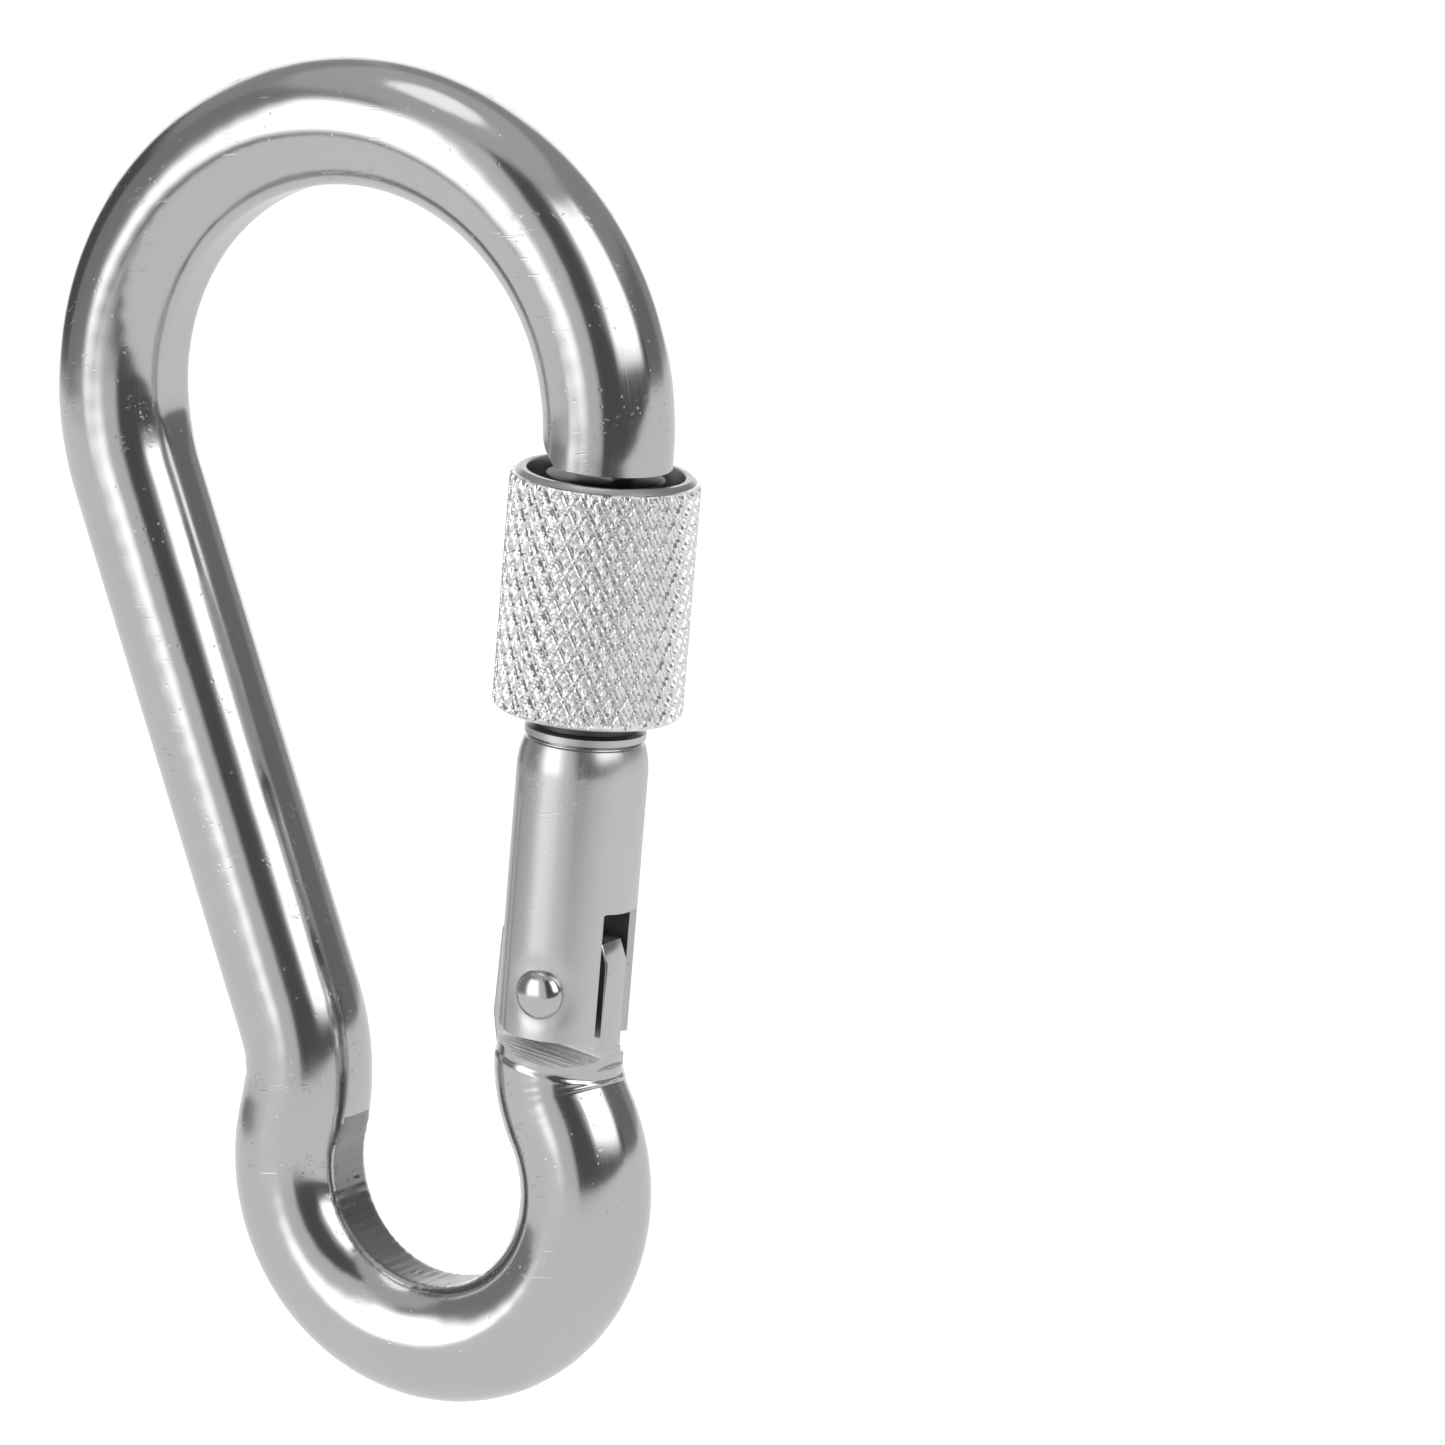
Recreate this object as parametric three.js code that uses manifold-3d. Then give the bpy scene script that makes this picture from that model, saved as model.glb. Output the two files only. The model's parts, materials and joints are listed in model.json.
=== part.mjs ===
// Screw-lock spring snap hook: a key-size carabiner bent from round bar.
// Millimetres. +Z runs up the long axis with the wide bow at the top, the gate is on the +X side and the hook
// lies flat to the XZ plane. The origin is the inner crown of the wide bow, where the hook hangs.
import * as THREE from 'three';
import { mergeVertices } from 'three/addons/utils/BufferGeometryUtils.js';
import Module from 'manifold-3d';

// ---------------------------------------------------------------- driving dimensions
const BAR = 7.7; // bar diameter
const BOW_RADIUS = 16.6; // bar centreline radius of the wide bow
const EYE_RADIUS = 9.85; // bar centreline radius of the small eye
const CENTRE_DISTANCE = 45.8; // bow centre to eye centre
const SPINE_LEAN = THREE.MathUtils.degToRad(13.1); // the spine and the gate close in towards the eye
const GATE_LEAN = THREE.MathUtils.degToRad(11.7);
const SPINE_NECK = 12.5; // centreline radius where the spine bends out into the eye
const GATE_NECK = 7.7; // the same on the hinge side
const CLEARANCE = 0.3; // between separate pieces

// Heights along the gate are counted up its axis from the hinge pin.
const PIN_DROP = 31.65; // from the end of the bow's arc down to the pin
const PIN_OFFSET = 0.4; // pin centre outside the gate's own axis
const PIN_RADIUS = 1.3;
const HEAD_RADIUS = 1.5;
const HEAD_SEAT = 3.25; // half distance between the two seats under the heads
const HEAD_TOP = 4.65; // half distance over the two domes
const PIN_HOLE = PIN_RADIUS + CLEARANCE;

const NOSE_END = 31.0; // height of the flat end of the nose
const NOSE_BEVEL = 2.4; // width of the bevel on its inner side
const NOSE_BEVEL_HEIGHT = 1.9;
const TONGUE = 2.3; // thickness of the body's hinge tongue
const SLOT = 3.7; // width of the gate's slot around the tongue
const SLOT_TOP = 4.95; // its roof at the gate's outer side
const SLOT_TOP_INNER = 5.9; // and at the inner side, clear of the tongue when the gate swings
const FLANGE_OUTER = 2.96; // outer edge of the tongue, and of the flat milled on the bar below it
const FLANGE_TOP = 3.0;
const FLANGE_BEVEL = 0.5; // width of the bevel on its top corner
const FLANGE_BEVEL_HEIGHT = 1.2;
const TONGUE_INNER = -4.45; // inner edge of the tongue, proud of the gate
const TONGUE_INNER_TOP = 3.2;
const FLAT_BOTTOM = -4.5; // where the flat on the bar ends
const SHOULDER = -3.4; // where the bar starts below the tongue
const SHOULDER_DROP = 0.8; // how far the shoulder slopes down to the front and back

const SHANK_TOP = 12.9; // upper end of the gate's full diameter
const THREAD_BOTTOM = 14.2;
const THREAD_RADIUS = 3.5; // over the crests
const GATE_TOP = 30.35;
const CHEEK_BOTTOM = -2.75;
const CHEEK_CORNER = 2.4; // radius of the cheeks' inner bottom corner
const SPRING_BORE = 1.9;
const BORE_TOP = 25;

const KEY_TOP = 34.1; // top of the key on the gate's end, inside the nose
const KEY_HEAD = 1.5; // height of its cross head
const KEY_NECK_WIDTH = 2.4;
const KEY_HEAD_WIDTH = 3.8;
const KEY_INNER = -1.8; // its two ends across the gate
const KEY_OUTER = 0.8;

const NUT_BOTTOM = 16.3;
const NUT_TOP = 30.55;
const NUT_RADIUS = 5.6;
const NUT_MOUTH = 4.6; // bore over the nose and the gate's end
const NUT_THREAD = THREAD_RADIUS + CLEARANCE; // bore at the threaded lower part
const NUT_THREAD_LENGTH = 5.4;

const PLUNGER_RADIUS = 1.2;
const PLUNGER_COLLAR = 1.6;
const PLUNGER_LIFT = 2.3; // travel for each radian that the gate opens
const GATE_OPEN = THREE.MathUtils.degToRad(25);
const TIP_HEIGHT = 3.7; // plunger tip with the gate shut
const COLLAR_HEIGHT = 8.2;
const COLLAR_THICKNESS = 1.0;
const SPRING_WIRE = 0.5;
const SPRING_TURNS = 9;

const BAR_SIDES = 20;
const BAR_STEPS = 100;
const ROUND_SIDES = 28;

// ---------------------------------------------------------------- solids
const wasm = await Module();
wasm.setup();

function solidOf(geometry) {
  const bare = geometry.clone();
  bare.deleteAttribute('normal');
  bare.deleteAttribute('uv');
  const merged = mergeVertices(bare, 1e-4);
  const corners = merged.index.array;
  const kept = [];
  for (let i = 0; i < corners.length; i += 3) {
    const [a, b, c] = corners.slice(i, i + 3);
    if (a !== b && b !== c && c !== a) kept.push(a, b, c);
  }
  return new wasm.Manifold(new wasm.Mesh({
    numProp: 3,
    vertProperties: merged.attributes.position.array,
    triVerts: new Uint32Array(kept),
  }));
}

function meshOf(name, solid, material) {
  const { vertProperties, triVerts } = solid.getMesh();
  const geometry = new THREE.BufferGeometry();
  geometry.setAttribute('position', new THREE.BufferAttribute(new Float32Array(vertProperties), 3));
  geometry.setIndex(new THREE.BufferAttribute(new Uint32Array(triVerts), 1));
  geometry.computeVertexNormals();
  const mesh = new THREE.Mesh(geometry, material);
  mesh.name = name;
  return mesh;
}

// A solid of revolution about the local Z axis: profile points are [radius, height].
function turned(profile, sides = ROUND_SIDES) {
  const points = profile.map(([radius, height]) => new THREE.Vector2(radius, height));
  return new THREE.LatheGeometry(points, sides).rotateX(Math.PI / 2);
}

// A plate flat to the XZ plane: outline points are [x, z], thickness is centred on Y = 0.
function plate(outline, thickness) {
  const shape = new THREE.Shape(outline.map(([x, z]) => new THREE.Vector2(x, z)));
  const geometry = new THREE.ExtrudeGeometry(shape, { depth: thickness, bevelEnabled: false });
  return geometry.rotateX(Math.PI / 2).translate(0, thickness / 2, 0);
}

// A bar along X with a section given as [y, z] points.
function beam(section, length) {
  const shape = new THREE.Shape(section.map(([y, z]) => new THREE.Vector2(y, z)));
  const geometry = new THREE.ExtrudeGeometry(shape, { depth: length, bevelEnabled: false });
  return geometry.translate(0, 0, -length / 2).rotateZ(Math.PI / 2).rotateY(Math.PI / 2);
}

function block(width, depth, low, high) {
  return new THREE.BoxGeometry(width, depth, high - low).translate(0, 0, (low + high) / 2);
}

function arcPoints(x, z, radius, from, to, count) {
  const points = [];
  for (let i = 0; i <= count; i += 1) {
    const angle = from + ((to - from) * i) / count;
    points.push([x + radius * Math.cos(angle), z + radius * Math.sin(angle)]);
  }
  return points;
}

// ---------------------------------------------------------------- layout in the XZ plane
const bowCentre = new THREE.Vector2(0, BAR / 2 - BOW_RADIUS);
const eyeCentre = new THREE.Vector2(0, bowCentre.y - CENTRE_DISTANCE);
const gateOut = new THREE.Vector2(Math.cos(GATE_LEAN), -Math.sin(GATE_LEAN));
const gateUp = new THREE.Vector2(Math.sin(GATE_LEAN), Math.cos(GATE_LEAN));
const pin = bowCentre.clone()
  .addScaledVector(gateOut, BOW_RADIUS + PIN_OFFSET)
  .addScaledVector(gateUp, -PIN_DROP);

// The local gate frame: X outwards, Z up the gate, origin on the pin's axis.
const gateFrame = new THREE.Matrix4().makeRotationY(GATE_LEAN).setPosition(pin.x, 0, pin.y);

function onGateAxis(height) {
  return pin.clone().addScaledVector(gateOut, -PIN_OFFSET).addScaledVector(gateUp, height);
}

// The bend between a straight limb and the eye: it touches the limb's line and the eye's circle.
function neckBend(side, lean, radius) {
  const out = new THREE.Vector2(side * Math.cos(lean), -Math.sin(lean));
  const down = new THREE.Vector2(-side * Math.sin(lean), -Math.cos(lean));
  const onLimb = bowCentre.clone().addScaledVector(out, BOW_RADIUS);
  const across = onLimb.clone().sub(eyeCentre).dot(out) + radius;
  const along = Math.sqrt((EYE_RADIUS + radius) ** 2 - across ** 2);
  const centre = eyeCentre.clone().addScaledVector(out, across).addScaledVector(down, -along);
  const atLimb = centre.clone().addScaledVector(out, -radius);
  const atEye = eyeCentre.clone().lerp(centre, EYE_RADIUS / (EYE_RADIUS + radius));
  return { centre, radius, atLimb, atEye };
}

function angleAt(centre, point) {
  return Math.atan2(point.y - centre.y, point.x - centre.x);
}

class FlatArc extends THREE.Curve {
  constructor(centre, radius, from, sweep) {
    super();
    Object.assign(this, { centre, radius, from, sweep });
  }

  getPoint(t, target = new THREE.Vector3()) {
    const angle = this.from + this.sweep * t;
    const x = this.centre.x + this.radius * Math.cos(angle);
    return target.set(x, 0, this.centre.y + this.radius * Math.sin(angle));
  }
}

function flatLine(from, to) {
  return new THREE.LineCurve3(new THREE.Vector3(from.x, 0, from.y), new THREE.Vector3(to.x, 0, to.y));
}

function turnBetween(from, to, direction) {
  const full = 2 * Math.PI;
  const turn = (((to - from) * direction) % full + full) % full;
  return turn * direction;
}

function barPath() {
  const spineNeck = neckBend(-1, SPINE_LEAN, SPINE_NECK);
  const gateNeck = neckBend(1, GATE_LEAN, GATE_NECK);
  const bowStart = -GATE_LEAN;
  const bowSweep = Math.PI + GATE_LEAN + SPINE_LEAN;
  const bowEnd = new THREE.Vector2(-Math.cos(SPINE_LEAN), -Math.sin(SPINE_LEAN))
    .multiplyScalar(BOW_RADIUS).add(bowCentre);
  const bend = (neck, from, to, direction) => {
    const start = angleAt(neck.centre, from);
    return new FlatArc(neck.centre, neck.radius, start, turnBetween(start, angleAt(neck.centre, to), direction));
  };
  const eyeFrom = angleAt(eyeCentre, spineNeck.atEye);
  const eyeTo = angleAt(eyeCentre, gateNeck.atEye);
  const path = new THREE.CurvePath();
  path.add(flatLine(onGateAxis(NOSE_END), onGateAxis(PIN_DROP)));
  path.add(new FlatArc(bowCentre, BOW_RADIUS, bowStart, bowSweep));
  path.add(flatLine(bowEnd, spineNeck.atLimb));
  path.add(bend(spineNeck, spineNeck.atLimb, spineNeck.atEye, -1));
  path.add(new FlatArc(eyeCentre, EYE_RADIUS, eyeFrom, turnBetween(eyeFrom, eyeTo, 1)));
  path.add(bend(gateNeck, gateNeck.atEye, gateNeck.atLimb, -1));
  path.add(flatLine(gateNeck.atLimb, onGateAxis(SHOULDER)));
  return path;
}

// ---------------------------------------------------------------- hook body
// The plunger tip rides on this curve as the gate opens, so its lift follows the gate at one steady rate.
function camOutline() {
  const before = 0.12; // the curve runs a little past each end of the travel
  const after = 0.05;
  const tipAt = (angle) => {
    const height = TIP_HEIGHT + PLUNGER_RADIUS + PLUNGER_LIFT * angle;
    return new THREE.Vector2(-PIN_OFFSET, height).rotateAround(new THREE.Vector2(), angle);
  };
  const points = [];
  for (let i = 0; i <= 10; i += 1) {
    const angle = -before + ((GATE_OPEN + before + after) * i) / 10;
    const tangent = tipAt(angle + 0.01).sub(tipAt(angle - 0.01)).normalize();
    const inward = new THREE.Vector2(-tangent.y, tangent.x);
    const point = tipAt(angle).addScaledVector(inward, PLUNGER_RADIUS + CLEARANCE);
    points.push([point.x, point.y]);
  }
  return points;
}

function tongueOutline() {
  const flangeInner = 1.1;
  const root = SHOULDER - 2;
  return [
    [FLANGE_OUTER, root],
    [FLANGE_OUTER, FLANGE_TOP - FLANGE_BEVEL_HEIGHT],
    [FLANGE_OUTER - FLANGE_BEVEL, FLANGE_TOP],
    [flangeInner, FLANGE_TOP],
    ...camOutline(),
    [TONGUE_INNER + 0.3, TONGUE_INNER_TOP + 0.3],
    [TONGUE_INNER, TONGUE_INNER_TOP],
    [TONGUE_INNER, SHOULDER + 1],
    [-BAR / 2 - PIN_OFFSET + 0.4, root],
  ];
}

// The key slot is cut through the nose's end and opens towards the inside of the hook.
function noseSlot() {
  const outer = KEY_OUTER + CLEARANCE + 0.2;
  const inner = -BAR;
  const middle = (outer + inner) / 2;
  const headFloor = KEY_TOP - KEY_HEAD - CLEARANCE;
  const neck = block(outer - inner, KEY_NECK_WIDTH + 2 * CLEARANCE, NOSE_END - 1, headFloor + 0.1);
  const head = block(outer - inner, KEY_HEAD_WIDTH + 2 * CLEARANCE, headFloor, KEY_TOP + CLEARANCE);
  return solidOf(neck.translate(middle, 0, 0)).add(solidOf(head.translate(middle, 0, 0)));
}

function noseBevel() {
  const inner = -BAR / 2 - PIN_OFFSET;
  return solidOf(plate([
    [inner - 1, NOSE_END - 1],
    [inner + NOSE_BEVEL + 1, NOSE_END - 1],
    [inner + NOSE_BEVEL, NOSE_END],
    [inner, NOSE_END + NOSE_BEVEL_HEIGHT],
    [inner - 1, NOSE_END + NOSE_BEVEL_HEIGHT],
  ], 2 * BAR));
}

function shoulderCut(side) {
  const inner = TONGUE / 2;
  const outer = BAR / 2 + 1;
  const slope = SHOULDER_DROP / (BAR / 2 - inner);
  return solidOf(beam([
    [inner, SHOULDER + 1],
    [inner, SHOULDER],
    [outer, SHOULDER - slope * (outer - inner)],
    [outer, SHOULDER + 1],
  ].map(([y, z]) => [side * y, z]), 2 * BAR));
}

function outerFlat() {
  const depth = BAR / 2;
  return solidOf(block(depth, 2 * BAR, FLAT_BOTTOM, SHOULDER + 1).translate(FLANGE_OUTER + depth / 2, 0, 0));
}

function hookBody() {
  const section = new THREE.Shape(arcPoints(0, 0, BAR / 2, 0, 2 * Math.PI, BAR_SIDES).slice(0, -1)
    .map(([x, y]) => new THREE.Vector2(x, y)));
  const bar = solidOf(new THREE.ExtrudeGeometry(section, { steps: BAR_STEPS, extrudePath: barPath() }));
  const pinHole = new THREE.CylinderGeometry(PIN_HOLE, PIN_HOLE, 2 * BAR, 16);
  const toWorld = gateFrame.elements;
  const tongue = solidOf(plate(tongueOutline(), TONGUE)).subtract(solidOf(pinHole));
  const cuts = [noseSlot(), noseBevel(), outerFlat(), shoulderCut(1), shoulderCut(-1)];
  let body = bar;
  for (const cut of cuts) body = body.subtract(cut.transform(toWorld));
  return body.add(tongue.transform(toWorld));
}

// ---------------------------------------------------------------- pieces on the gate, in its own frame
function gate() {
  const radius = BAR / 2;
  const edge = THREAD_BOTTOM - SHANK_TOP;
  const bar = solidOf(turned([
    [0, CHEEK_BOTTOM],
    [radius, CHEEK_BOTTOM],
    [radius, SHANK_TOP],
    [radius - edge * 0.2, SHANK_TOP + edge * 0.7],
    [THREAD_RADIUS - 0.4, THREAD_BOTTOM],
    [THREAD_RADIUS - 0.4, THREAD_BOTTOM + 0.4],
    [THREAD_RADIUS, THREAD_BOTTOM + 0.6],
    [THREAD_RADIUS, GATE_TOP - 0.3],
    [THREAD_RADIUS - 0.3, GATE_TOP],
    [0, GATE_TOP],
  ]).translate(-PIN_OFFSET, 0, 0));
  const bore = solidOf(turned([
    [0, SLOT_TOP - 1],
    [SPRING_BORE, SLOT_TOP - 1],
    [SPRING_BORE, BORE_TOP],
    [0, BORE_TOP + 1],
  ], 16).translate(-PIN_OFFSET, 0, 0));
  const slot = solidOf(plate([
    [-radius - PIN_OFFSET - 1, CHEEK_BOTTOM - 1],
    [radius + 1, CHEEK_BOTTOM - 1],
    [radius + 1, SLOT_TOP],
    [radius - PIN_OFFSET, SLOT_TOP],
    [-radius - PIN_OFFSET, SLOT_TOP_INNER],
    [-radius - PIN_OFFSET - 1, SLOT_TOP_INNER],
  ], SLOT));
  const hole = solidOf(new THREE.CylinderGeometry(PIN_HOLE, PIN_HOLE, 2 * BAR, 16));
  const seat = new THREE.CylinderGeometry(HEAD_RADIUS + CLEARANCE, HEAD_RADIUS + CLEARANCE, BAR, 20);
  const keyLength = KEY_OUTER - KEY_INNER;
  const keyMiddle = (KEY_OUTER + KEY_INNER) / 2;
  const neck = block(keyLength, KEY_NECK_WIDTH, GATE_TOP - 1, KEY_TOP).translate(keyMiddle, 0, 0);
  const head = block(keyLength, KEY_HEAD_WIDTH, KEY_TOP - KEY_HEAD, KEY_TOP).translate(keyMiddle, 0, 0);
  const corner = -radius - PIN_OFFSET;
  const cornerCut = plate([
    [corner - 1, CHEEK_BOTTOM - 1],
    [corner + CHEEK_CORNER, CHEEK_BOTTOM - 1],
    ...arcPoints(corner + CHEEK_CORNER, CHEEK_BOTTOM + CHEEK_CORNER, CHEEK_CORNER, 1.5 * Math.PI, Math.PI, 6),
    [corner - 1, CHEEK_BOTTOM + CHEEK_CORNER],
  ], 2 * BAR);
  let solid = bar.subtract(bore).subtract(slot).subtract(hole).subtract(solidOf(cornerCut));
  for (const side of [-1, 1]) {
    solid = solid.subtract(solidOf(seat.clone().translate(0, side * (HEAD_SEAT - CLEARANCE + radius), 0)));
  }
  return solid.add(solidOf(neck)).add(solidOf(head));
}

function lockNut() {
  const chamfer = 0.5;
  const threadTop = NUT_BOTTOM + NUT_THREAD_LENGTH;
  return solidOf(turned([
    [NUT_THREAD, NUT_BOTTOM],
    [NUT_RADIUS - 2 * chamfer, NUT_BOTTOM],
    [NUT_RADIUS, NUT_BOTTOM + chamfer],
    [NUT_RADIUS, NUT_TOP - chamfer],
    [NUT_RADIUS - chamfer, NUT_TOP],
    [NUT_MOUTH + chamfer / 2, NUT_TOP],
    [NUT_MOUTH, NUT_TOP - chamfer],
    [NUT_MOUTH, threadTop + 0.8],
    [NUT_THREAD, threadTop],
    [NUT_THREAD, NUT_BOTTOM],
  ], 36).translate(-PIN_OFFSET, 0, 0));
}

function rivet() {
  const dome = (side) => {
    const rise = HEAD_TOP - HEAD_SEAT;
    const points = [];
    for (let i = 0; i <= 5; i += 1) {
      const angle = (Math.PI / 2) * (i / 5);
      points.push([HEAD_RADIUS * Math.cos(angle), side * (HEAD_SEAT + 0.2 + (rise - 0.2) * Math.sin(angle))]);
    }
    return points;
  };
  const profile = [
    ...dome(-1).reverse(),
    [HEAD_RADIUS, -HEAD_SEAT],
    [PIN_RADIUS, -HEAD_SEAT],
    [PIN_RADIUS, HEAD_SEAT],
    [HEAD_RADIUS, HEAD_SEAT],
    ...dome(1),
  ];
  profile[0][0] = 0;
  profile[profile.length - 1][0] = 0;
  return solidOf(turned(profile, 20).rotateX(Math.PI / 2));
}

function plunger() {
  const tip = arcPoints(0, TIP_HEIGHT + PLUNGER_RADIUS, PLUNGER_RADIUS, -Math.PI / 2, 0, 4);
  tip[0][0] = 0;
  const collarTop = COLLAR_HEIGHT + COLLAR_THICKNESS;
  return solidOf(turned([
    ...tip,
    [PLUNGER_RADIUS, COLLAR_HEIGHT],
    [PLUNGER_COLLAR, COLLAR_HEIGHT],
    [PLUNGER_COLLAR, collarTop],
    [0, collarTop],
  ], 16).translate(-PIN_OFFSET, 0, 0));
}

class Helix extends THREE.Curve {
  constructor(radius, low, high, turns) {
    super();
    Object.assign(this, { radius, low, high, turns });
  }

  getPoint(t, target = new THREE.Vector3()) {
    const angle = 2 * Math.PI * this.turns * t;
    const height = this.low + (this.high - this.low) * t;
    return target.set(this.radius * Math.cos(angle), this.radius * Math.sin(angle), height);
  }
}

function spring() {
  const wire = SPRING_WIRE / 2;
  const low = COLLAR_HEIGHT + COLLAR_THICKNESS + wire + CLEARANCE;
  const high = BORE_TOP - wire - CLEARANCE;
  const coil = new Helix(PLUNGER_COLLAR - wire, low, high, SPRING_TURNS);
  const section = new THREE.Shape(arcPoints(0, 0, wire, 0, 2 * Math.PI, 6).slice(0, -1)
    .map(([x, y]) => new THREE.Vector2(x, y)));
  const geometry = new THREE.ExtrudeGeometry(section, { steps: SPRING_TURNS * 12, extrudePath: coil });
  return solidOf(geometry.translate(-PIN_OFFSET, 0, 0));
}

// ---------------------------------------------------------------- assembly
function steel(color, roughness) {
  return new THREE.MeshStandardMaterial({ color, roughness, metalness: 1 });
}

const onGate = new THREE.Group();
onGate.applyMatrix4(gateFrame);
onGate.add(meshOf('gate', gate(), steel(0xbfbfbf, 0.25)));
onGate.add(meshOf('lock_nut', lockNut(), steel(0xd4d4d4, 0.35)));
onGate.add(meshOf('hinge_rivet', rivet(), steel(0xc8c8c8, 0.2)));
onGate.add(meshOf('spring_plunger', plunger(), steel(0xb0b0b0, 0.3)));
onGate.add(meshOf('gate_spring', spring(), steel(0xa8a8a8, 0.3)));

const carabiner = new THREE.Group();
carabiner.add(meshOf('hook_body', hookBody(), steel(0xbdbdbd, 0.2)));
carabiner.add(onGate);

export default carabiner;
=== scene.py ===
"""Screw-lock spring snap hook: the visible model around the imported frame."""

import json
import math

import bmesh
import bpy
import numpy as np
from mathutils import Matrix, Vector


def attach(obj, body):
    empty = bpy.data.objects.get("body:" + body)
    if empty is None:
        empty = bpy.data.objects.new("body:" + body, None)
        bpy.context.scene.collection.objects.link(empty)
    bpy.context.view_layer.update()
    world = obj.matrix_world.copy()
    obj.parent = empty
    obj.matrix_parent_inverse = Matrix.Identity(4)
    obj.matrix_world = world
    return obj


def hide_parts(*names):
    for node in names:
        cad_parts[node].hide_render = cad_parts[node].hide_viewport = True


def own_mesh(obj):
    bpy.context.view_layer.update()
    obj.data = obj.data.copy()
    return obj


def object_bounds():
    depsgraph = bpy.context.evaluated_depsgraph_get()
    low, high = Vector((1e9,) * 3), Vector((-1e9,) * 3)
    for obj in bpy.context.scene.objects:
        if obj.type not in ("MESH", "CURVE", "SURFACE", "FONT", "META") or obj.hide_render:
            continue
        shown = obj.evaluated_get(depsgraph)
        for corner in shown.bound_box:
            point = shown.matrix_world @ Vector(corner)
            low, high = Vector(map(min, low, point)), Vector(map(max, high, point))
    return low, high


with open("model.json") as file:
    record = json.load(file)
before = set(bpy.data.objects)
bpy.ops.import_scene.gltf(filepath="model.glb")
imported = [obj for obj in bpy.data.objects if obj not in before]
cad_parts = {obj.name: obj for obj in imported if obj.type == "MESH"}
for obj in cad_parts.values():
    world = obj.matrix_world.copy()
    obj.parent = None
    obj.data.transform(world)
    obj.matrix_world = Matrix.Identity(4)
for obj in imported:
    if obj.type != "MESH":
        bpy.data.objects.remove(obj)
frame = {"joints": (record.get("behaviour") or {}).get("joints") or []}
cad_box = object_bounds()

MM = 0.001

# ------------------------------------------------------------------ sizes, in millimetres
BAR = 7.7
BAR_R = BAR / 2
SKIN_R = 3.83  # of the worn bar and gate, a little less than the drawn size
BOW_R = 16.6
EYE_R = 9.85
CENTRE_DISTANCE = 45.8
SPINE_LEAN = math.radians(13.1)
GATE_LEAN = math.radians(11.7)
SPINE_NECK = 12.5
GATE_NECK = 7.7

PIN_OFFSET = 0.4  # from the gate's axis out to the pin
PIN_R = 1.3
PIN_HOLE = 1.45  # in the tongue
CHEEK_HOLE_GAP = 0.1
HEAD_R = 1.5
HEAD_SEAT = 3.45
HEAD_TOP = 4.6
HEAD_EDGE = 0.08
HEAD_RIM = 0.25  # straight part of the head's side, under the dome
DENT_DEPTH = 0.06  # of the dimple hammered round each head
DENT_WIDTH = 0.6

NOSE_END = 31.0
NOSE_BEVEL = 2.4
NOSE_BEVEL_HEIGHT = 1.9
TONGUE = 2.3
SLOT = 3.7
SLOT_TOP = 4.95
SLOT_TOP_INNER = 5.9
FLANGE_OUTER = 2.96
FLANGE_INNER = 1.1
FLANGE_TOP = 3.0
FLANGE_BEVEL = 0.5
FLANGE_BEVEL_HEIGHT = 1.2
TONGUE_INNER = -4.45
TONGUE_INNER_TOP = 3.5
TONGUE_INNER_SLANT = 0.15
TONGUE_CORNER = 1.0
TONGUE_ROOT = 2.0  # below the shoulder, inside the bar
TONGUE_BEVEL = 0.14
FLAT_BOTTOM = -4.5
SHOULDER = -3.4
SHOULDER_DROP = 0.8
SHOULDER_TILT = math.radians(6.5)
LIP = 0.5  # height of the shallow step under the shoulder's edge
LIP_DEPTH = 0.1

SHANK_TOP = 12.9
SHANK_NECK = 3.52
THREAD_BOTTOM = 14.75
THREAD_TOP = 28.0
THREAD_PITCH = 1.0
THREAD_CREST = 3.55
THREAD_ROOT = 3.08
GATE_TOP = 30.35
DRAWN_LINE = math.radians(234)  # a fine line drawn along the gate by its die
DRAWN_LINE_DEPTH = 0.07
CHEEK_BOTTOM = -2.75
CHEEK_CORNER = 2.4
FOOT = 2.34  # the slot's half width where the cheeks swing over the shoulder's highest part
FOOT_END = -0.6
FOOT_TOP = -1.55
OUTER_CORNER = 0.9
SLOT_RIM_FRONT = 0.10  # how much is taken off the slot's edge at the front and at the back
SLOT_RIM_BACK = 0.30
SLOT_RIM_TURN = math.radians(50)
SPRING_BORE = 1.9
BORE_TOP = 25.0
KEY_TOP = 34.1
KEY_HEAD = 1.5
KEY_NECK_WIDTH = 2.4
KEY_HEAD_WIDTH = 3.8
KEY_INNER = -1.8
KEY_OUTER = 0.8
KEY_SIDE_GAP = 0.2  # of the key in its slot
KEY_END_GAP = 0.3
KEY_OUTER_GAP = 0.5

NUT_BOTTOM = 16.3
NUT_TOP = 30.55
NUT_R = 5.58
NUT_MOUTH = 4.6
NUT_THREAD = 3.8
NUT_THREAD_LENGTH = 5.4
NUT_EDGE = 0.3  # height of the plain rim above and below the knurl
NUT_LUMP = 0.011  # roughness of the pressed knurl
KNURLS = 30  # grooves round the nut in each direction
KNURL_HEIGHT = 2.05  # of one diamond
# Grooves as (place across the pitch, half width, depth): the roller tracked twice on the left-hand set.
KNURL_RIGHT = ((0.0, 0.20, 0.27), (0.5, 0.12, 0.05))
KNURL_LEFT = ((0.0, 0.16, 0.25), (0.36, 0.13, 0.16), (0.66, 0.10, 0.09))

PLUNGER_R = 1.2
PLUNGER_COLLAR = 1.6
TIP_HEIGHT = 3.7
CAM_GAP = 0.15
PLUNGER_LIFT = 2.3  # in millimetres for each radian that the gate opens
GATE_OPEN = math.radians(25)
COLLAR_HEIGHT = 8.2
COLLAR_THICKNESS = 1.0
SPRING_WIRE = 0.5
SPRING_TURNS = 9

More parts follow.
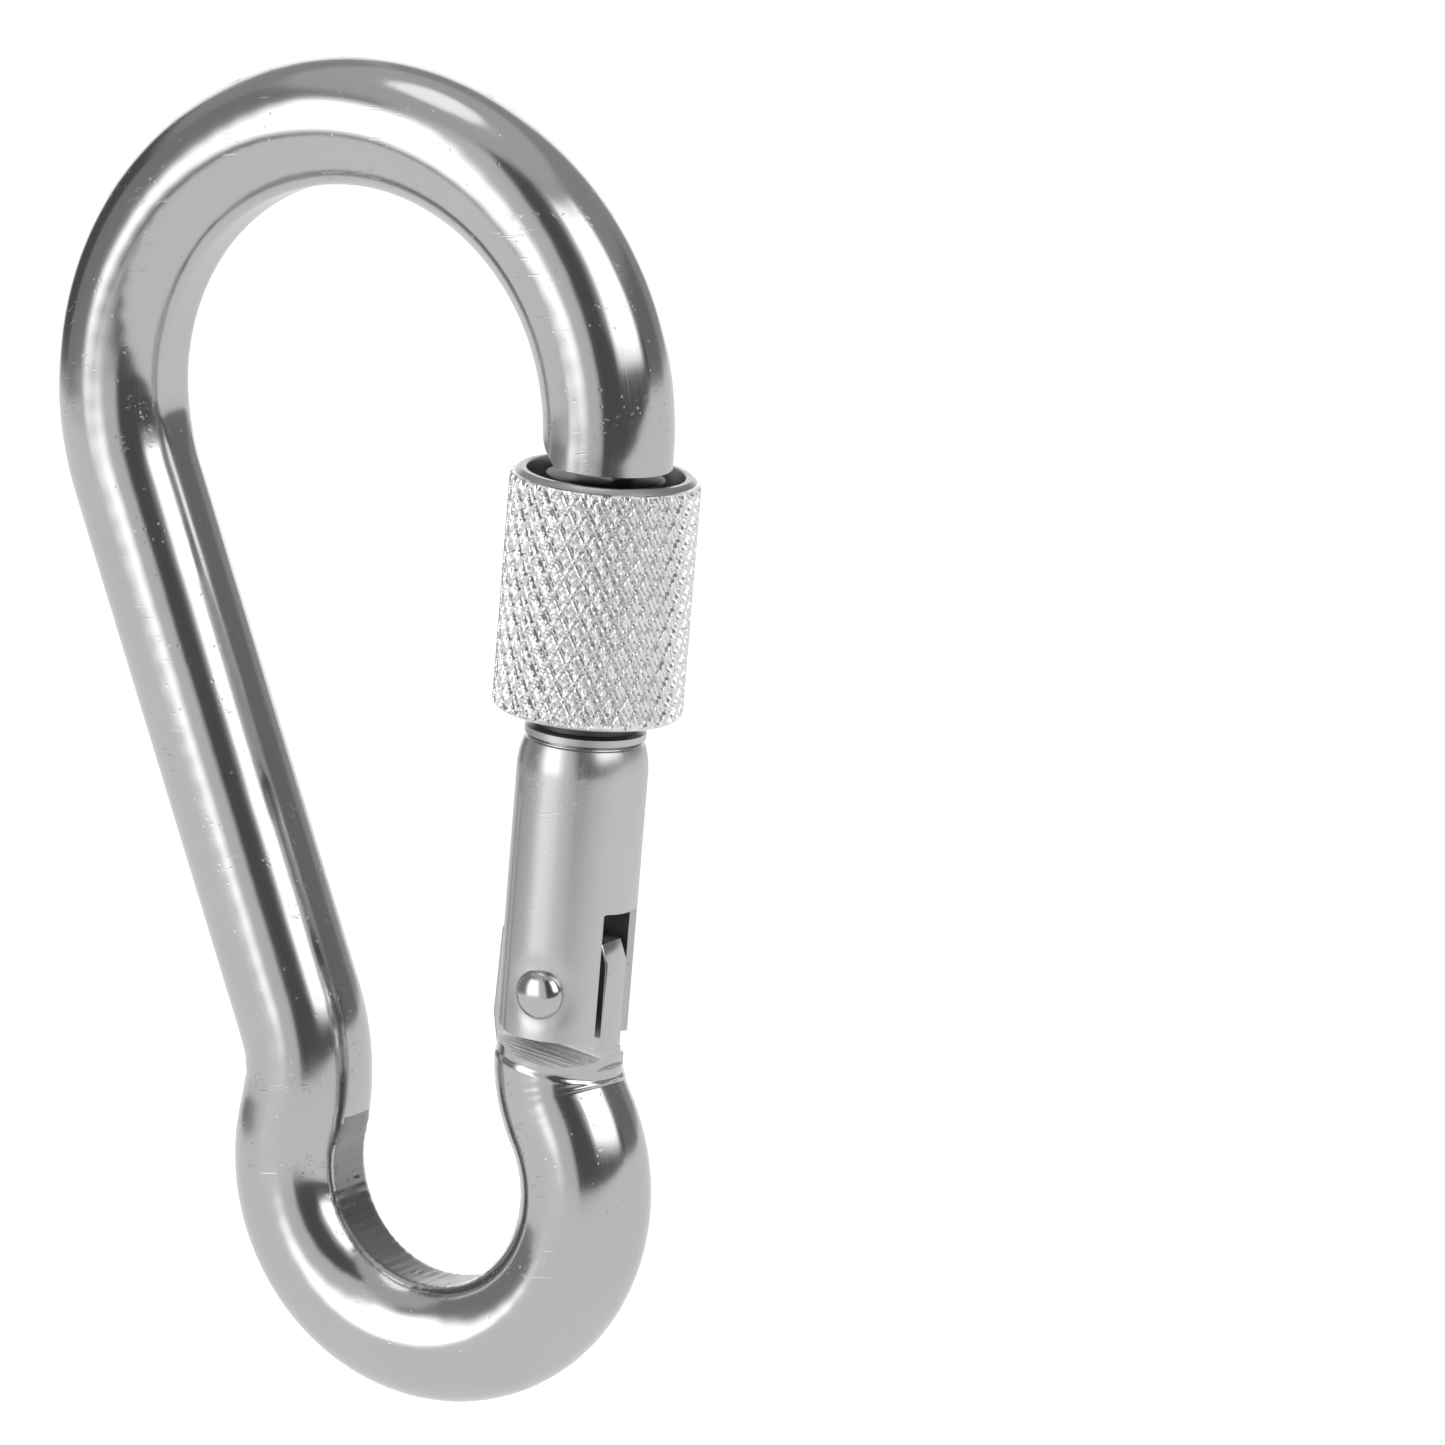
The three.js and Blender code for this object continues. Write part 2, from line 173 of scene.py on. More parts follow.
# The bar's surface.
STATION = 0.3  # spacing of the rings along the bar
FINE_STATION = 0.1  # and below the hinge
BAR_COLUMNS = 84
GATE_COLUMNS = 120
BOW_FLAT = 0.28  # how deep the bending former flattened the inside of each bend
EYE_FLAT = 0.42
FLAT_BLEND = 0.05
FLAT_FULL = 0.1
WRINKLE = 0.035
WRINKLE_LENGTH = 0.85
WRINKLE_STRIP = (0.75, 0.45)  # below the skin: where the wrinkles fade in
WAVE_DEPTH = 0.004
DENTS_DEPTH = 0.006
CREASE_BLEND = 0.06  # in radians
LIP_BLEND = 0.08
LIP_REACH = 12  # height above and below the pin where the step is looked for

# Where each treatment fades in after one place along the bar, and out near the next.
BOW_FADE = (1, 8), (2, -6)
EYE_FADE = (-3, 1.5), (1.5, -2)
HINGE_FADE = (-1, 3), (1.5, -1)

# ------------------------------------------------------------------ places, from the frame
joints = {joint["name"]: joint for joint in frame["joints"]}
pin = Vector(joints["gate_hinge"]["pos_m"])
gate_up = Vector(joints["nut_travel"]["axis"]).normalized()
gate_out = Vector((gate_up.z, 0, -gate_up.x))
gate_frame = Matrix((
    (gate_out.x, 0, gate_up.x, pin.x),
    (0, 1, 0, 0),
    (gate_out.z, 0, gate_up.z, pin.z),
    (0, 0, 0, 1),
))
bow_centre = np.array([0.0, BAR_R - BOW_R])
eye_centre = bow_centre - np.array([0.0, CENTRE_DISTANCE])

# ------------------------------------------------------------------ camera, floor and light
CAMERA_AZIMUTH = math.radians(30.4)
CAMERA_ELEVATION = math.radians(7.5)
CAMERA_ROLL = math.radians(5.6)
CAMERA_DISTANCE = 620
CAMERA_LENS = 264.4
AIM_RIGHT = 21.0  # of the bow's centre
AIM_DOWN = 18.6
FLOOR_GAP = 60
TABLE_GAP = 35  # a white table top that is only seen in reflections
TABLE_FRONT = 217
TABLE_REACH = 1500
TABLE_RADIANCE = 0.88
FLOOR_HALF = 150.0  # in metres
FLOOR_SHADE = 0.93
FLOOR_GLOW = 0.35
BACKDROP = 1.1  # what the camera sees behind the floor
WHITE = (1, 1, 1, 1)


def linked(name, data):
    """A new object in the scene."""
    obj = bpy.data.objects.new(name, data)
    bpy.context.scene.collection.objects.link(obj)
    return obj


def node_material(name):
    """A new material and the tree its nodes go in."""
    material = bpy.data.materials.new(name)
    material.use_nodes = True
    return material, Nodes(material.node_tree)


def level_square(name, corners, level, turn=None):
    """A flat square mesh at one height."""
    mesh = bpy.data.meshes.new(name)
    points = [Vector((x, y, level)) for x, y in corners]
    if turn is not None:
        points = [turn @ point * MM for point in points]
    mesh.from_pydata(points, [], [(0, 1, 2, 3)])
    return mesh


def add_camera():
    azimuth, elevation = CAMERA_AZIMUTH, CAMERA_ELEVATION
    back = Vector((
        math.sin(azimuth) * math.cos(elevation),
        -math.cos(azimuth) * math.cos(elevation),
        math.sin(elevation),
    ))
    level = (-back).to_track_quat("-Z", "Y").to_matrix()
    turn = level @ Matrix.Rotation(-CAMERA_ROLL, 3, "Z")
    right, up = turn.col[0], turn.col[1]
    aim = Vector((bow_centre[0], 0, bow_centre[1])) + right * AIM_RIGHT - up * AIM_DOWN
    data = bpy.data.cameras.new("camera")
    data.sensor_width = 36
    data.lens = CAMERA_LENS
    data.clip_start = 0.01
    data.clip_end = 200
    camera = linked("camera", data)
    camera.matrix_world = Matrix.Translation((aim + back * CAMERA_DISTANCE) * MM) @ turn.to_4x4()
    bpy.context.scene.camera = camera


class Nodes:
    """Adds and joins shader nodes; a socket, a number or a colour can be an input."""

    def __init__(self, tree):
        self.tree = tree
        self.tree.nodes.clear()

    def add(self, kind, settings=None, **inputs):
        node = self.tree.nodes.new(kind)
        for key, value in (settings or {}).items():
            setattr(node, key, value)
        for key, value in inputs.items():
            self.put(node, key, value)
        return node

    def put(self, node, key, value):
        name = int(key[1:]) if key[0] == "_" and key[1:].isdigit() else key.replace("_", " ")
        socket = node.inputs[name]
        if isinstance(value, bpy.types.NodeSocket):
            self.tree.links.new(value, socket)
        else:
            socket.default_value = value

    def math(self, operation, a, b=0.0, c=0.0):
        return self.add("ShaderNodeMath", {"operation": operation}, _0=a, _1=b, _2=c).outputs[0]

    def ramp(self, value, low, high, out_low=0.0, out_high=1.0):
        node = self.add("ShaderNodeMapRange", {"interpolation_type": "SMOOTHSTEP"}, Value=value)
        limits = {"From Min": low, "From Max": high, "To Min": out_low, "To Max": out_high}
        for name, number in limits.items():
            node.inputs[name].default_value = number
        return node.outputs[0]

    def mix(self, factor, a, b):
        node = self.add("ShaderNodeMix", {"data_type": "FLOAT"})
        for index, value in ((0, factor), (2, a), (3, b)):
            self.put(node, f"_{index}", value)
        return node.outputs[0]


# Soft boxes and dark cards around the object, as seen from it: azimuth to the right of the camera,
# elevation, half width, half height, edge softness (all in degrees) and radiance.
SURROUND = 0.84
STUDIO = (
    (0, -45, 180, 45, 3, 0.86),
    (0, -45, 95, 50, 3, 0.13),
    (0, 26, 180, 28, 10, 0.46),
    (0, 66, 180, 12, 8, 0.72),
    (-134, 13, 18, 14, 8, 0.13),
    (-100, 22, 16, 28, 8, 0.36),
    (180, 2, 26, 27, 10, 1.7),
    (-30, 18, 22, 34, 10, 0.95),
    (100, 8, 24, 14, 10, 0.27),
    (3, 14, 15, 40, 6, 0.13),
    (44, -6, 42, 15, 4, 0.13),
    (-57, 17, 18, 23, 14, 2.9),
    (51, 25, 24, 21, 10, 2.9),
    (0, 86, 180, 9, 4, 1.9),
)


def add_world():
    world = bpy.data.worlds.new("studio")
    bpy.context.scene.world = world
    world.use_nodes = True
    n = Nodes(world.node_tree)
    direction = n.add("ShaderNodeTexCoord").outputs["Generated"]
    turned = n.add("ShaderNodeVectorRotate", {"rotation_type": "Z_AXIS"}, Vector=direction)
    turned.inputs["Angle"].default_value = -CAMERA_AZIMUTH
    parts = n.add("ShaderNodeSeparateXYZ", Vector=turned.outputs[0]).outputs
    azimuth = n.math("DEGREES", n.math("ARCTAN2", parts["X"], n.math("MULTIPLY", parts["Y"], -1.0)))
    elevation = n.math("DEGREES", n.math("ARCSINE", parts["Z"]))
    radiance = SURROUND
    for side, height, half_width, half_height, soft, level in STUDIO:
        around = n.math("ABSOLUTE", n.math("WRAP", n.math("SUBTRACT", azimuth, side), 180.0, -180.0))
        above = n.math("ABSOLUTE", n.math("SUBTRACT", elevation, height))
        across = n.ramp(around, half_width + soft / 2, half_width - soft / 2)
        along = n.ramp(above, half_height + soft / 2, half_height - soft / 2)
        radiance = n.mix(n.math("MULTIPLY", across, along), radiance, level)
    studio = n.add("ShaderNodeBackground", Strength=radiance)
    plain = n.add("ShaderNodeBackground", Strength=BACKDROP)
    seen = n.add("ShaderNodeLightPath").outputs["Is Camera Ray"]
    both = n.add("ShaderNodeMixShader", _0=seen, _1=studio.outputs[0], _2=plain.outputs[0])
    n.add("ShaderNodeOutputWorld", Surface=both.outputs[0])


def add_floor():
    half = FLOOR_HALF
    level = cad_box[0].z - FLOOR_GAP * MM
    mesh = level_square("floor", [(-half, -half), (half, -half), (half, half), (-half, half)], level)
    floor = linked("floor", mesh)
    material, n = node_material("pale_floor")
    shade = (FLOOR_SHADE, FLOOR_SHADE, FLOOR_SHADE, 1)
    paint = n.add("ShaderNodeBsdfPrincipled", Base_Color=shade, Roughness=0.9)
    paint.inputs["Emission Color"].default_value = WHITE
    paint.inputs["Emission Strength"].default_value = FLOOR_GLOW
    n.add("ShaderNodeOutputMaterial", Surface=paint.outputs[0])
    mesh.materials.append(material)
    floor.visible_glossy = False


def add_table():
    """A white table top under the hook that only reflections see. Its front edge is close to the hook."""
    level = eye_centre[1] - EYE_R - BAR_R - TABLE_GAP
    front, reach = -TABLE_FRONT, TABLE_REACH
    corners = [(-reach, front), (reach, front), (reach, reach), (-reach, reach)]
    mesh = level_square("table", corners, level, Matrix.Rotation(CAMERA_AZIMUTH, 4, "Z"))
    table = linked("table", mesh)
    material, n = node_material("table_white")
    glow = n.add("ShaderNodeEmission", Strength=TABLE_RADIANCE)
    n.add("ShaderNodeOutputMaterial", Surface=glow.outputs[0])
    mesh.materials.append(material)
    for kind in ("camera", "diffuse", "transmission", "volume_scatter", "shadow"):
        setattr(table, "visible_" + kind, False)


add_camera()
add_world()
add_floor()
add_table()
bpy.context.scene.view_settings.view_transform = "Standard"


# ------------------------------------------------------------------ meshes
def new_object(name, points, faces, grain=None, place=None):
    """A mesh object from points in millimetres.

    grain holds an (along, around) pair for each face corner.
    """
    mesh = bpy.data.meshes.new(name)
    scaled = [Vector(p) * MM for p in points]
    if place is not None:
        scaled = [place @ p for p in scaled]
    mesh.from_pydata(scaled, [], faces)
    if grain is not None:
        layer = mesh.uv_layers.new(name="grain")
        layer.data.foreach_set("uv", np.asarray(grain, np.float32).ravel())
    mesh.update()
    return linked(name, mesh)


def grid_object(name, rings, along, around, place=None):
    """A closed skin through rings of points, with flat ends.

    along and around are the grain's coordinates.
    """
    rows, columns = rings.shape[:2]
    points = rings.reshape(-1, 3)
    faces, grain = [], []
    for i in range(rows - 1):
        for j in range(columns):
            k = (j + 1) % columns
            below, above = i * columns, (i + 1) * columns
            faces.append((below + j, below + k, above + k, above + j))
            left, right = around[j], around[j + 1]
            low, high = along[i], along[i + 1]
            grain += [(low, left), (low, right), (high, right), (high, left)]
    for row, order in ((0, -1), (rows - 1, 1)):
        faces.append(tuple(row * columns + j for j in range(columns))[::order])
        grain += [(along[row], around[j]) for j in range(columns)][::order]
    return new_object(name, points, faces, grain, place)


def turned_object(name, profile, columns, place=None, centre=-PIN_OFFSET):
    """A solid of revolution about the local Z axis through x = centre. profile is [(radius, height)]."""
    angles = np.linspace(0, 2 * math.pi, columns, endpoint=False)
    rings = np.array([
        [(centre + radius * math.cos(a), radius * math.sin(a), height) for a in angles]
        for radius, height in profile
    ])
    steps = np.hypot(*np.diff(np.array(profile), axis=0).T)
    along = np.concatenate([[0], np.cumsum(steps)])
    around = np.linspace(0, 2 * math.pi * BAR_R, columns + 1)
    return grid_object(name, rings, along, around, place)


def extruded(points, step):
    """A closed solid made by moving one flat face by step."""
    bm = bmesh.new()
    face = bm.faces.new([bm.verts.new(point) for point in points])
    made = bmesh.ops.extrude_face_region(bm, geom=[face])
    moved = [v for v in made["geom"] if isinstance(v, bmesh.types.BMVert)]
    bmesh.ops.translate(bm, verts=moved, vec=step)
    bmesh.ops.recalc_face_normals(bm, faces=bm.faces)
    return bm


def placed(name, bm, place=None):
    """An object from a solid in millimetres."""
    bm.transform(Matrix.Scale(MM, 4))
    if place is not None:
        bm.transform(place)
    mesh = bpy.data.meshes.new(name)
    bm.to_mesh(mesh)
    bm.free()
    return linked(name, mesh)


def plate_object(name, outline, low, high, place=None, bevel=0.0):
    """A plate from an outline of (x, z) points, between y = low and y = high, with rounded rims."""
    bm = extruded([(x, low, z) for x, z in outline], (0, high - low, 0))
    if bevel:
        rims = [e for e in bm.edges if abs(e.verts[0].co.y - e.verts[1].co.y) < 1e-6]
        bmesh.ops.bevel(bm, geom=rims, offset=bevel, segments=3, profile=0.5, affect="EDGES")
    bmesh.ops.triangulate(bm, faces=[f for f in bm.faces if len(f.verts) > 4])
    return placed(name, bm, place)


def block_object(name, low, high, place=None, bevel=0.0):
    """A box between two corners."""
    outline = [(low[0], low[2]), (high[0], low[2]), (high[0], high[2]), (low[0], high[2])]
    return plate_object(name, outline, low[1], high[1], place, bevel)


def combine(obj, others, operation):
    """Cuts the others out of a piece, or joins them to it, one after another."""
    for other in others:
        modifier = obj.modifiers.new(operation.lower(), "BOOLEAN")
        modifier.operation = operation
        modifier.solver = "EXACT"
        modifier.object = other
        bpy.context.view_layer.update()
        evaluated = obj.evaluated_get(bpy.context.evaluated_depsgraph_get())
        mesh = bpy.data.meshes.new_from_object(evaluated)
        obj.modifiers.clear()
        obj.data = mesh
        bpy.data.objects.remove(other)
    return obj


def smooth(obj, angle=32):
    obj.data.polygons.foreach_set("use_smooth", [True] * len(obj.data.polygons))
    obj.data.set_sharp_from_angle(angle=math.radians(angle))


def arc_points(x, z, radius, start, end, count):
    angles = np.linspace(start, end, count + 1)
    return [(x + radius * math.cos(a), z + radius * math.sin(a)) for a in angles]


# ------------------------------------------------------------------ hook body
def on_gate(height):
    """A place on the gate's axis, this far above the pin, as (x, z)."""
    point = pin + (gate_up * height - gate_out * PIN_OFFSET) * MM
    return np.array([point.x, point.z]) / MM


def neck_bend(side, lean, radius):
    """The bend between a straight limb and the eye: its centre and where it touches each of them."""
    out = np.array([side * math.cos(lean), -math.sin(lean)])
    down = np.array([-side * math.sin(lean), -math.cos(lean)])
    across = (bow_centre + out * BOW_R - eye_centre) @ out + radius
    along = math.sqrt((EYE_R + radius) ** 2 - across ** 2)
    centre = eye_centre + out * across - down * along
    at_limb = centre - out * radius
    at_eye = eye_centre + (centre - eye_centre) * EYE_R / (EYE_R + radius)
    return centre, at_limb, at_eye


def straight(start, end):
    """A straight run: its length and the point and direction at each share of it."""
    length = float(np.linalg.norm(end - start))
    return length, lambda t: (start + (end - start) * t, (end - start) / length)


def bend(centre, radius, start, end, turn):
    """The same for a bend, anticlockwise where turn is 1 and clockwise where it is -1."""
    first = math.atan2(*(start - centre)[::-1])
    sweep = (turn * (math.atan2(*(end - centre)[::-1]) - first)) % (2 * math.pi)

    def at(t):
        angle = first + turn * sweep * t
        spoke = np.array([math.cos(angle), math.sin(angle)])
        return centre + radius * spoke, turn * np.array([-spoke[1], spoke[0]])

    return radius * sweep, at


def bar_path():
    """Stations along the bar's centreline: points, directions, distances, and where each limb ends."""
    spine_bend, spine_limb, spine_eye = neck_bend(-1, SPINE_LEAN, SPINE_NECK)
    gate_bend, gate_limb, gate_eye = neck_bend(1, GATE_LEAN, GATE_NECK)
    bow_start = bow_centre + BOW_R * np.array([math.cos(GATE_LEAN), -math.sin(GATE_LEAN)])
    bow_end = bow_centre + BOW_R * np.array([-math.cos(SPINE_LEAN), -math.sin(SPINE_LEAN)])
    limbs = [
        straight(on_gate(NOSE_END), bow_start),
        bend(bow_centre, BOW_R, bow_start, bow_end, 1),
        straight(bow_end, spine_limb),
        bend(spine_bend, SPINE_NECK, spine_limb, spine_eye, -1),
        bend(eye_centre, EYE_R, spine_eye, gate_eye, 1),
        bend(gate_bend, GATE_NECK, gate_eye, gate_limb, -1),
        straight(gate_limb, on_gate(SHOULDER + 0.01)),
    ]
    first_fine = len(limbs) - 2
    points, directions, distances, ends = [], [], [], []
    travelled = 0.0
    for index, (length, at) in enumerate(limbs):
        count = max(1, round(length / (FINE_STATION if index >= first_fine else STATION)))
        last = index == len(limbs) - 1
        for i in range(count + last):
            point, direction = at(i / count)
            points.append(point)
            directions.append(direction)
            distances.append(travelled + length * i / count)
        travelled += length
        ends.append(travelled)
    return np.array(points), np.array(directions), np.array(distances), ends


def ease(x, low, high):
    """A smooth step from 0 at low to 1 at high."""
    t = np.clip((x - low) / (high - low), 0, 1)
    return t * t * (3 - 2 * t)


def between(along, start, end, fades):
    """1 between two places along the bar, fading in and out over the given offsets from them."""
    (first, full), (gone, last) = fades
    return ease(along, start + first, start + full) * ease(along, end + gone, end + last)


def soft_limit(x, limit, blend):
    """The smaller of x and limit, with a rounded change-over."""
    return -blend * np.logaddexp(-x / blend, -limit / blend)


def bar_rings():
    """The bar's skin. The numbers inside the sine waves only keep the marks from repeating."""
    points, directions, along, ends = bar_path()
    nose, bow, spine, spine_neck, eye, gate_neck, _ = ends
    turn = np.linspace(0, 2 * math.pi, BAR_COLUMNS, endpoint=False)
    in_bow = between(along, nose, bow, BOW_FADE)
    in_eye = between(along, spine_neck, eye, EYE_FADE)
    flat = BOW_FLAT * in_bow + EYE_FLAT * in_eye
    inward = SKIN_R * np.cos(turn)[None, :] * np.ones((len(along), 1))
    front = SKIN_R * np.sin(turn)[None, :] * np.ones((len(along), 1))
    limited = soft_limit(inward, (SKIN_R - flat)[:, None], FLAT_BLEND)
    strength = np.clip(flat / FLAT_FULL, 0, 1)[:, None]
    limited = inward + (limited - inward) * strength
    strip = ease(limited, SKIN_R - WRINKLE_STRIP[0], SKIN_R - WRINKLE_STRIP[1]) * in_eye[:, None]
    wave = np.sin(2 * math.pi * along / WRINKLE_LENGTH + 1.1 * np.sin(along * 1.7))
    uneven = 0.6 + 0.4 * np.sin(front * 1.9 + along[:, None])
    limited = limited + WRINKLE * strip * wave[:, None] * uneven
    outer_half = np.clip(-np.cos(turn), 0, 1)[None, :]
    for start, end, radius in ((spine, spine_neck, SPINE_NECK), (eye, gate_neck, GATE_NECK)):
        limited = limited + crease(along, start, end, radius)[:, None] * outer_half
    under_hinge = between(along, eye, gate_neck, HINGE_FADE)
    wear = surface_wear(along[:, None], turn[None, :], under_hinge[:, None])
    limited = limited * wear
    front = front * wear
    side = np.stack([-directions[:, 1], directions[:, 0]], 1)
    rings = np.empty((len(along), BAR_COLUMNS, 3))
    rings[:, :, 0] = points[:, 0, None] + side[:, 0, None] * limited
    rings[:, :, 1] = -front
    rings[:, :, 2] = points[:, 1, None] + side[:, 1, None] * limited
    step_down(rings, points)
    return rings, along


def surface_wear(along, turn, under_hinge):
    """Share of the radius left by slow waves from polishing and, under the hinge, by small dents."""
    waves = np.sin(2.1 * along + 3 * turn) * np.sin(1.3 * along - 5 * turn + 0.7 * np.sin(0.9 * along))
    dents = np.sin(5.3 * along + 9 * turn) * np.sin(4.1 * along - 13 * turn + 1.3 * np.sin(2.7 * along))
    depth = WAVE_DEPTH * (1 + waves) + DENTS_DEPTH * under_hinge * (1 + dents)
    return 1 - depth / SKIN_R


def crease(along, start, end, radius):
    """How far the outside of a neck is pressed in where the two straight runs meet in a tight corner."""
    sweep = (end - start) / radius
    concave = radius - BAR_R
    off_middle = np.abs(along - (start + end) / 2) / radius
    inside = off_middle < sweep / 2
    depth = concave * (1 / np.cos(np.clip(sweep / 2 - off_middle, 0, None)) - 1)
    return np.where(inside, depth, 0) * ease(off_middle, -CREASE_BLEND, CREASE_BLEND)


def step_down(rings, points):
    """The bar is a little thinner between the shoulder's edge and a slanting line under it."""
    origin = np.array([pin.x, pin.z]) / MM
    out = np.array([gate_out.x, gate_out.z])
    up = np.array([gate_up.x, gate_up.z])
    flat = rings[:, :, [0, 2]] - origin
    across, height = flat @ out, flat @ up
    line = SHOULDER - SHOULDER_DROP - LIP - math.tan(SHOULDER_TILT) * (across + PIN_OFFSET)
    in_limb = (across + PIN_OFFSET) ** 2 + rings[:, :, 1] ** 2 < (1.5 * BAR_R) ** 2
    near = in_limb & (np.abs(height) < LIP_REACH)
    share = np.where(near, ease(height, line - LIP_BLEND, line + LIP_BLEND), 0) * LIP_DEPTH / BAR_R
    rings[:, :, 0] += (points[:, 0, None] - rings[:, :, 0]) * share
    rings[:, :, 2] += (points[:, 1, None] - rings[:, :, 2]) * share
    rings[:, :, 1] *= 1 - share


def cam_points():
    """The curve on the tongue that the pusher's round tip rides on as the gate opens."""
    before, after, steps = 0.12, 0.05, 24
    nudge = 0.01

    def tip(angle):
        height = TIP_HEIGHT + PLUNGER_R + PLUNGER_LIFT * angle
        c, s = math.cos(angle), math.sin(angle)
        return np.array([-PIN_OFFSET * c - height * s, -PIN_OFFSET * s + height * c])

    points = []
    for i in range(steps + 1):
        angle = -before + (GATE_OPEN + before + after) * i / steps
        tangent = tip(angle + nudge) - tip(angle - nudge)
        tangent /= np.linalg.norm(tangent)
        inward = np.array([-tangent[1], tangent[0]])
        points.append(tuple(tip(angle) + inward * (PLUNGER_R + CAM_GAP)))
    return points


def tongue_outline():
    """The hinge tongue from the side, from the outer flange over the cam to the inner edge."""
    root = SHOULDER - TONGUE_ROOT
    radius = TONGUE_CORNER
    inner_top = TONGUE_INNER + TONGUE_INNER_SLANT
    corner = arc_points(inner_top + radius, TONGUE_INNER_TOP - radius, radius, math.pi / 2, math.pi, 10)
    return [
        (FLANGE_OUTER, root), (FLANGE_OUTER, FLANGE_TOP - FLANGE_BEVEL_HEIGHT),
        (FLANGE_OUTER - FLANGE_BEVEL, FLANGE_TOP), (FLANGE_INNER, FLANGE_TOP), *cam_points(), *corner,
        (TONGUE_INNER, SHOULDER + 1), (-BAR_R, root),
    ]


def hook_body():
    rings, along = bar_rings()
    around = np.linspace(0, 2 * math.pi * BAR_R, BAR_COLUMNS + 1)
    body = grid_object("hook_bar", rings[:, ::-1], along, around)
    half = TONGUE / 2
    tongue = plate_object("tongue", tongue_outline(), -half, half, gate_frame, bevel=TONGUE_BEVEL)
    inner = -BAR
    outer = KEY_OUTER + KEY_OUTER_GAP
    floor = KEY_TOP - KEY_HEAD - KEY_END_GAP
    top = KEY_TOP + KEY_END_GAP
    neck = KEY_NECK_WIDTH / 2 + KEY_SIDE_GAP
    head = KEY_HEAD_WIDTH / 2 + KEY_SIDE_GAP
    outer_flat = (FLANGE_OUTER + 0.02, -BAR, FLAT_BOTTOM), (2 * BAR_R, BAR, SHOULDER + 1)
    neck_box = (inner, -neck, NOSE_END - 1), (outer, neck, floor + 0.1)
    head_box = (inner, -head, floor), (outer, head, top)
    cuts = [
        shoulder_cutter(-1),
        shoulder_cutter(1),
        block_object("neck_slot", *neck_box, gate_frame),
        block_object("head_slot", *head_box, gate_frame),
        nose_bevel_cutter(),
        block_object("outer_flat", *outer_flat, gate_frame),
    ]
    combine(body, cuts, "DIFFERENCE")
    pin_hole = round_cutter("tongue_hole", PIN_HOLE, -BAR, BAR, across=True)
    combine(tongue, [pin_hole], "DIFFERENCE")
    combine(body, [tongue], "UNION")
    smooth(body)
    return body


def shoulder_cutter(side):
    """Removes the milled pocket beside the tongue: its floor slopes down towards the bar's skin."""
    inner, outer = TONGUE / 2, BAR_R + 1
    slope = SHOULDER_DROP / (BAR_R - inner)
    low, top = SHOULDER, SHOULDER + 2
    outline = [(inner, top), (inner, low), (outer, low - slope * (outer - inner)), (outer, top)]
    bm = extruded([(-BAR, side * y, z) for y, z in outline], (2 * BAR, 0, 0))
    bm.transform(Matrix.Rotation(SHOULDER_TILT, 4, "Y"))
    return placed("shoulder", bm, gate_frame)


def nose_bevel_cutter():
    """Takes the inner edge off the nose."""
    inner = -BAR_R - PIN_OFFSET
    low, top = NOSE_END, NOSE_END + NOSE_BEVEL_HEIGHT
    outline = [
        (inner - 1, low - 1), (inner + NOSE_BEVEL + 1, low - 1), (inner + NOSE_BEVEL, low),
        (inner, top), (inner - 1, top + 1),
    ]
    return plate_object("nose_bevel", outline, -BAR, BAR, gate_frame)


# ------------------------------------------------------------------ gate and the pieces on it
def level_ring(radius, height, angles):
    """A ring round the gate's axis; radius is one number, or one for each angle."""
    across = -PIN_OFFSET + radius * np.cos(angles)
    return np.stack([across, radius * np.sin(angles), np.full(len(angles), height)], 1)


def thread_rings(columns):
    """Rings up the threaded part: a thread with flattened crests that starts and ends softly.

    Under it is a plain collar, and its last turn runs out into the plain top.
    """
    rows_per_turn = 20
    flattened = 0.12
    collar_low, collar_high = THREAD_BOTTOM + 0.08, THREAD_BOTTOM + 0.75
    soft_low, soft_high = 0.12, 0.15
    rows = round((THREAD_TOP - THREAD_BOTTOM) / (THREAD_PITCH / rows_per_turn))
    heights = np.linspace(THREAD_BOTTOM, THREAD_TOP, rows + 1)
    angles = np.linspace(0, 2 * math.pi, columns, endpoint=False)
    phase = (heights[:, None] / THREAD_PITCH - angles[None, :] / (2 * math.pi)) % 1.0
    ridge = 1 - np.abs(2 * phase - 1)
    tooth = ease(ridge, flattened, 1 - flattened)
    start = ease(heights, THREAD_BOTTOM + 0.8, THREAD_BOTTOM + 1.6)
    end = ease(heights, THREAD_TOP, THREAD_TOP - 1)
    collar = ease(heights, collar_low, collar_low + soft_low)
    collar = collar * ease(heights, collar_high, collar_high - soft_high)
    depth = (start * end)[:, None]
    radius = THREAD_ROOT + (THREAD_CREST - THREAD_ROOT) * (tooth * depth + (collar + 1 - end)[:, None])
    return heights, angles, radius


